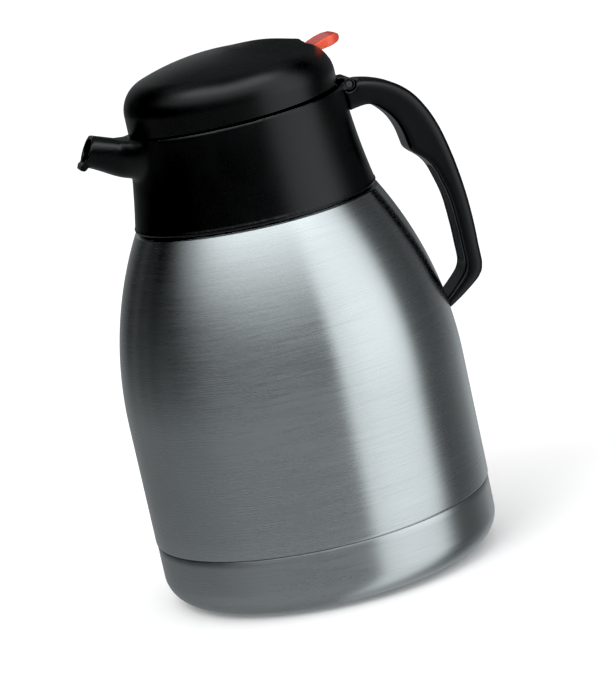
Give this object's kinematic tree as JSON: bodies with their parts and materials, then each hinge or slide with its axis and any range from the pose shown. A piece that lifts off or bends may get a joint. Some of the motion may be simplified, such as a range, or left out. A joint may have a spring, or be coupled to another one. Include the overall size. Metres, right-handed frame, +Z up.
{
  "type": "thermal carafe",
  "caption": "Double-wall steel thermal carafe with black collar and spout, strap handle, hinged domed lid and a red thumb lever that opens the pour valve.",
  "frame": {"origin": "centre of the standing face under the rubber foot", "axes": "+Z up, +X towards the handle and the lid's hinge, the spout on -X, +Y across"},
  "size_m": [0.1786, 0.16, 0.251],
  "materials": {
    "brushed_shell": "satin, brushed round the body",
    "flask_steel": "plain drawn stainless steel",
    "getter_metal": "dull dark grey",
    "foot_rubber": "matt, moulded rings",
    "grip_rubber": "soft matt",
    "black_plastic": "satin moulded, fine grain",
    "stopper_plastic": "satin moulded",
    "clear_silicone": "milky, slightly translucent look",
    "valve_rubber": "matt",
    "bright_steel": "bright stainless",
    "white_foam": "closed-cell foam",
    "red_plastic": "glossy red-orange, warm and clear-looking",
    "valve_plastic": "natural white"
  },
  "bodies": {
    "carafe": {"outer_shell": "brushed_shell", "inner_flask": "flask_steel", "shell_bottom": "flask_steel", "getter_capsule": "getter_metal", "vacuum_seal_cap": "flask_steel", "base_cup": "brushed_shell", "foot_pad": "foot_rubber", "collar": "black_plastic", "collar_gasket": "clear_silicone", "neck_snap_ring": "bright_steel", "handle_grip": "black_plastic", "handle_inlay": "grip_rubber", "handle_screws": "bright_steel", "foot_bracket": "bright_steel", "foot_screw": "bright_steel", "hinge_pin": "bright_steel"},
    "lid": {"lid_dome": "black_plastic", "stopper_body": "stopper_plastic", "stopper_gasket": "clear_silicone", "lid_insulation": "white_foam", "lid_screws": "bright_steel", "lever_pin": "bright_steel", "valve_spring": "bright_steel"},
    "lever": {"thumb_lever": "red_plastic"},
    "valve": {"valve_stem": "valve_plastic", "valve_seal": "valve_rubber", "stem_cap": "valve_plastic"}
  },
  "joints": [
    {"name": "lid_flip", "type": "hinge", "parent": "carafe", "child": "lid", "pos_m": [0.0532, 0, 0.2222], "axis": [0, 1, 0], "range_deg": [0, 80]},
    {"name": "lever_press", "type": "hinge", "parent": "lid", "child": "lever", "pos_m": [0.024, 0, 0.237], "axis": [0, 1, 0], "range_deg": [0, 9], "stiffness_Nm_per_rad": 0.004, "springref_deg": -10.89},
    {"name": "valve_lift", "type": "slide", "parent": "lid", "child": "valve", "axis": [0, 0, 1], "range_m": [0, 0.0036], "stiffness_N_per_m": 10, "springref_m": -0.01, "deforming": ["valve_spring"]}
  ],
  "couplings": [
    {"joint": "lever_press", "follows": "valve_lift", "rad_per_m": 41.667}
  ]
}
